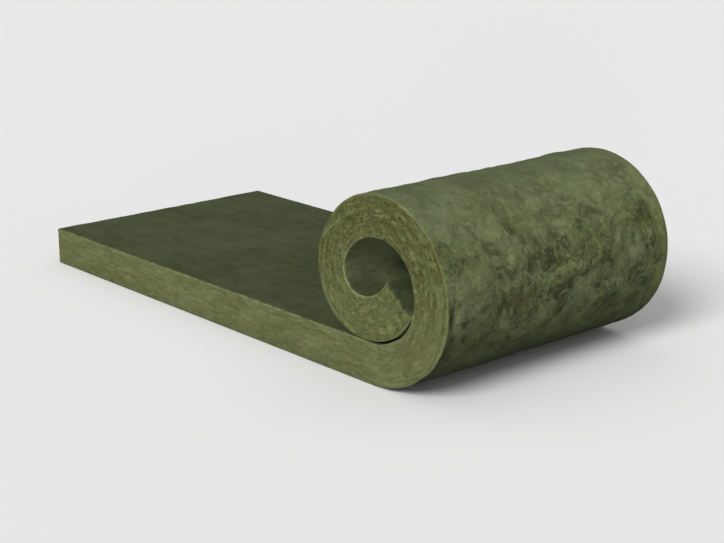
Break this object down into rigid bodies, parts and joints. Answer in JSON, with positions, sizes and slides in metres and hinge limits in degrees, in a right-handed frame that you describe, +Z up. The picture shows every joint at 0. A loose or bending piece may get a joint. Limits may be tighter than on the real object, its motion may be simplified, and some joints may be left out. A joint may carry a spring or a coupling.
{
  "type": "insulation roll",
  "caption": "Thick mineral wool loft mat, part unrolled: a flat run on the floor that lifts at one end and winds back over itself round an open hollow.",
  "frame": {"origin": "on the floor, under the centre of the part's box", "axes": "+X from the free flat end towards the roll, +Y along the roll's axis, +Z up"},
  "size_m": [2.2066, 1, 0.6118],
  "materials": {
    "mineral_wool": "matt, fibrous, mottled olive green"
  },
  "bodies": {
    "root": {"wool_mat": "mineral_wool"}
  },
  "joints": []
}
